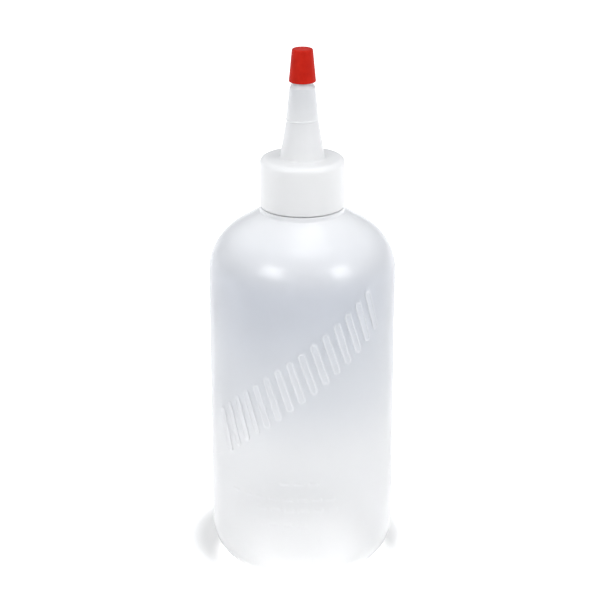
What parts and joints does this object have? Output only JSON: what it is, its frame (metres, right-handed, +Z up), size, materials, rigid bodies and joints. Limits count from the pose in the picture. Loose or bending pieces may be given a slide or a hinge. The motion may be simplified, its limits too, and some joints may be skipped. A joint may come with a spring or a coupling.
{
  "type": "squeeze bottle with spout cap",
  "caption": "Round milky squeeze bottle for glue with a screw-on tapered spout cap and a small red pull-off tip.",
  "frame": {"origin": "centre of the base, on the surface the bottle stands on", "axes": "+Z up along the bottle's axis towards the spout, -Y towards the decorated front, +X to the right of a viewer who faces the front"},
  "size_m": [0.0604, 0.0608, 0.1753],
  "materials": {
    "bottle_plastic": "milky translucent, soft gloss",
    "seal_foam": "matte white foam",
    "cap_plastic": "milky translucent, soft gloss",
    "tip_plastic": "glossy red"
  },
  "bodies": {
    "bottle_body": {"bottle": "bottle_plastic"},
    "washer_body": {"cap_seal_washer": "seal_foam"},
    "cap_body": {"spout_cap": "cap_plastic"},
    "tip_body": {"closing_tip": "tip_plastic"}
  },
  "joints": [
    {"name": "cap_lift", "type": "slide", "parent": "bottle_body", "child": "washer_body", "axis": [0, 0, 1], "range_m": [0, 0.0176]},
    {"name": "cap_turn", "type": "hinge", "parent": "washer_body", "child": "cap_body", "pos_m": [0, 0, 0.1403], "axis": [0, 0, 1], "range_deg": [0, 1980]},
    {"name": "tip_pull", "type": "slide", "parent": "cap_body", "child": "tip_body", "axis": [0, 0, 1], "range_m": [0, 0.014]}
  ],
  "couplings": [
    {"joint": "cap_lift", "follows": "cap_turn", "m_per_rad": 0.00050532}
  ]
}
